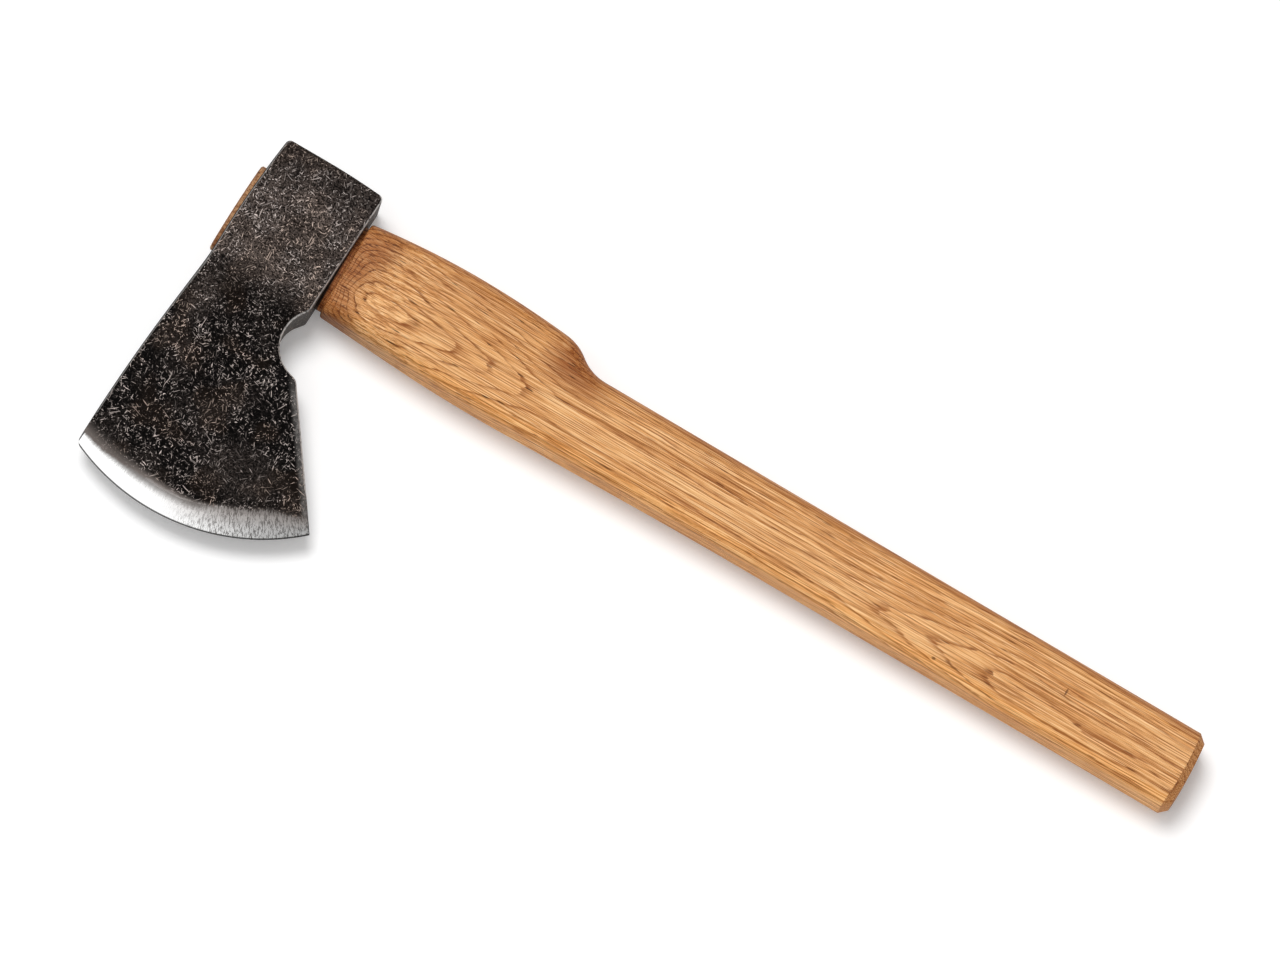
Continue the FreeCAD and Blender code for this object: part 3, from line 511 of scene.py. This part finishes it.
def oiled_ash():
    ash = Recipe("oiled_ash")
    place = from_eye(ash)
    x, y, _ = split(ash, place)
    nx, ny, _ = facing(ash)
    early, dark_lines, depth, colour = ash_grain(ash, place)

    # darker: painted shade next to the head, in the step and on the poll side; oil in the end grain at the
    # butt
    off_island = ash.math("ABSOLUTE", ash.math("ADD", y, 7.0))
    shade_by_head = fade(ash, line_of(ash, off_island, -0.35, x), 40, 26)
    from_step = ash.math("ABSOLUTE", ash.math("SUBTRACT", x, STEP))
    shade_in_step = times(ash, fade(ash, from_step, 20, 4), fade(ash, y, -4, 9))
    neck_poll_side_shade = times(ash, fade(ash, y, 2, 14, 0.0, 0.28), fade(ash, x, 112, 90))
    poll_edge_shade = fade(ash, ny, 0.25, 0.7)
    ends = fade(ash, ash.math("ABSOLUTE", nx), 0.4, 0.8)
    butt_end = times(ash, ends, fade(ash, x, 0, 10), 0.65)
    dark = strongest(ash, times(ash, shade_by_head, 0.9), shade_in_step, neck_poll_side_shade, times(ash, poll_edge_shade, 0.7))
    dark = ash.math("MAXIMUM", dark, butt_end, clamp=True)
    colour = blend(ash, dark, colour, OIL_AND_SHADE_DARKENED, how="MULTIPLY")

    colour = sawn_crown(ash, place, nx, colour)
    # grime and painted shade in the grain next to the head, and painted light that makes the bit side paler
    colour = blend(ash, times(ash, shade_by_head, dark_lines, 0.6), colour, GRIME_AND_SHADE)
    rubbed_and_painted_light = times(ash, fade(ash, ny, -0.1, -0.6), fade(ash, x, 45, 80))
    colour = blend(ash, rubbed_and_painted_light, colour, PAINTED_LIGHT_BIT_SIDE, how="MULTIPLY")
    colour = shoulder_gap(ash, x, colour)
    knots = [spot(ash, place, middle, reach, 1.3, 0.6) for middle, reach in KNOTS]
    colour = blend(ash, times(ash, strongest(ash, *knots), 0.75), colour, KNOT_BROWN)

    rough = line_of(ash, ends, 0.15, line_of(ash, early, 0.14, 0.5))
    bump = ash.node("Bump", [("Strength", 0.5), ("Distance", 0.00012), ("Height", depth)])
    shader = ash.node("BsdfPrincipled", [("Base Color", colour), ("Roughness", rough),
                                         ("Specular IOR Level", 0.15), ("Normal", bump)])
    return ash.finish(shader)


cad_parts["haft"].material_slots[0].material = oiled_ash()

# ------------------------------------------------------------------------------------ wooden wedge
# A thin hardwood wedge driven into the tenon's kerf from the crown and sawn off with it. Its grain
# runs along the haft, so the crown shows its end grain.
WEDGE_LIGHT = (0.42, 0.22, 0.09)
WEDGE_DARK = (0.30, 0.14, 0.055)
WEDGE_FIBRE = (0.55, 0.31, 0.14)
WEDGE_PORE = (0.10, 0.04, 0.016)


def wedge_wood():
    wood = Recipe("wedge_wood")
    place = from_eye(wood)
    fibre = cloud(wood, place, (14, 0.5, 0.5), 4.0, 0.65)
    growth = cloud(wood, place, (60, 4.5, 1.2), 1.0, 0.5)
    pores = wood.node("TexVoronoi", [("Vector", wood.vector("DIVIDE", place, (3.0, 0.3, 0.3)))])
    pores = fade(wood, pores, 0.3, 0.12)
    colour = blend(wood, fade(wood, growth, 0.4, 0.6), WEDGE_LIGHT, WEDGE_DARK)
    colour = blend(wood, fade(wood, fibre, 0.4, 0.65), colour, WEDGE_FIBRE)
    colour = blend(wood, times(wood, pores, 0.7), colour, WEDGE_PORE)
    depth = wood.math("SUBTRACT", fibre, pores)
    bump = wood.node("Bump", [("Strength", 0.5), ("Distance", 0.00012), ("Height", depth)])
    rough = line_of(wood, pores, 0.2, 0.58)
    shader = wood.node("BsdfPrincipled", [("Base Color", colour), ("Roughness", rough), ("Normal", bump)])
    return wood.finish(shader)


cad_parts["wooden_wedge"].material_slots[0].material = wedge_wood()

# ------------------------------------------------------------------------------------ steel wedges
# Two small cut-steel wedges, driven across the wooden one and left a little below the sawn crown.
# They are bare steel with the grain of the shear and a trace of rust.
WEDGE_STEEL_DARK = (0.26, 0.255, 0.25)
WEDGE_STEEL_LIGHT = (0.50, 0.49, 0.48)
WEDGE_RUST = (0.13, 0.055, 0.028)


def cut_steel():
    steel = Recipe("cut_steel")
    place = from_eye(steel)
    grain = cloud(steel, place, (0.5, 3.0, 0.3), 3.0, 0.6)
    rust = fade(steel, cloud(steel, place, 2.2, 3.0, 0.6), 0.52, 0.7)
    colour = blend(steel, fade(steel, grain, 0.35, 0.65), WEDGE_STEEL_DARK, WEDGE_STEEL_LIGHT)
    colour = blend(steel, times(steel, rust, 0.7), colour, WEDGE_RUST)
    metal = line_of(steel, rust, -0.8, 1.0)
    rough = line_of(steel, rust, 0.3, 0.38)
    bump = steel.node("Bump", [("Strength", 0.4), ("Distance", 0.0001), ("Height", grain)])
    shader = steel.node("BsdfPrincipled", [("Base Color", colour), ("Metallic", metal), ("Roughness", rough),
                                           ("Normal", bump)])
    return steel.finish(shader)


steel_wedge_finish = cut_steel()
for name in ("steel_wedge_poll_side", "steel_wedge_bit_side"):
    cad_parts[name].material_slots[0].material = steel_wedge_finish

# ------------------------------------------------------------------------------------------ lights
# A soft key from the crown and poll side, a dimmer overhead panel from the crown and edge side, and an
# even white room.
ROOM_LIGHT = 0.4


def soft_light(name, leaning, spread, strength):
    """Even light from one direction; leaning is how far it leans to +X and +Y for each step up."""
    data = bpy.data.lights.new(name, "SUN")
    data.energy = strength
    data.angle = math.radians(spread)
    lamp = bpy.data.objects.new(name, data)
    lamp.rotation_euler = Vector((*leaning, 1)).to_track_quat("Z", "Y").to_euler()
    bpy.context.scene.collection.objects.link(lamp)


soft_light("key_light", (-0.32, 0.22), 26, 1.75)
soft_light("overhead_panel", (-0.30, -0.15), 46, 0.47)

room = bpy.data.worlds.new("room")
bpy.context.scene.world = room
room.use_nodes = True
walls = room.node_tree.nodes["Background"]
walls.inputs["Color"].default_value = (1, 1, 1, 1)
walls.inputs["Strength"].default_value = ROOM_LIGHT

# ------------------------------------------------------------------------------------------ camera
# A long lens looks down on the hatchet, leaning to the bit side and a little to the butt.
CAMERA_DISTANCE = 10.0   # m
CAMERA_LEAN = math.radians(13.3)
CAMERA_SIDE_LEAN = math.radians(2.2)
HAFT_SLOPE = math.radians(30.2)
AIM_ALONG = 0.4449       # share of the hatchet's length, from the crown
AIM_ACROSS = 0.7177      # share of its width, from the cutting edge
FRAME_WIDTH = 0.4928     # m, seen from side to side
SENSOR_MM = 36.0

back = Vector((math.tan(CAMERA_SIDE_LEAN), -math.tan(CAMERA_LEAN), 1)).normalized()
across = back.cross(Vector((1, 0, 0))).normalized()
along = across.cross(back)
right = math.cos(HAFT_SLOPE) * along + math.sin(HAFT_SLOPE) * across
up = -math.sin(HAFT_SLOPE) * along + math.cos(HAFT_SLOPE) * across
aim = Vector((cad_low.x + AIM_ALONG * (cad_high.x - cad_low.x),
              cad_low.y + AIM_ACROSS * (cad_high.y - cad_low.y),
              (cad_low.z + cad_high.z) / 2))
camera_place = aim + CAMERA_DISTANCE * back
camera_data = bpy.data.cameras.new("camera")
camera_data.sensor_width = SENSOR_MM
camera_data.lens = SENSOR_MM * CAMERA_DISTANCE / FRAME_WIDTH
camera = bpy.data.objects.new("camera", camera_data)
camera.matrix_world = Matrix((
    (right.x, up.x, back.x, camera_place.x),
    (right.y, up.y, back.y, camera_place.y),
    (right.z, up.z, back.z, camera_place.z),
    (0, 0, 0, 1),
))
bpy.context.scene.collection.objects.link(camera)
bpy.context.scene.camera = camera
bpy.context.scene.view_settings.view_transform = "Standard"
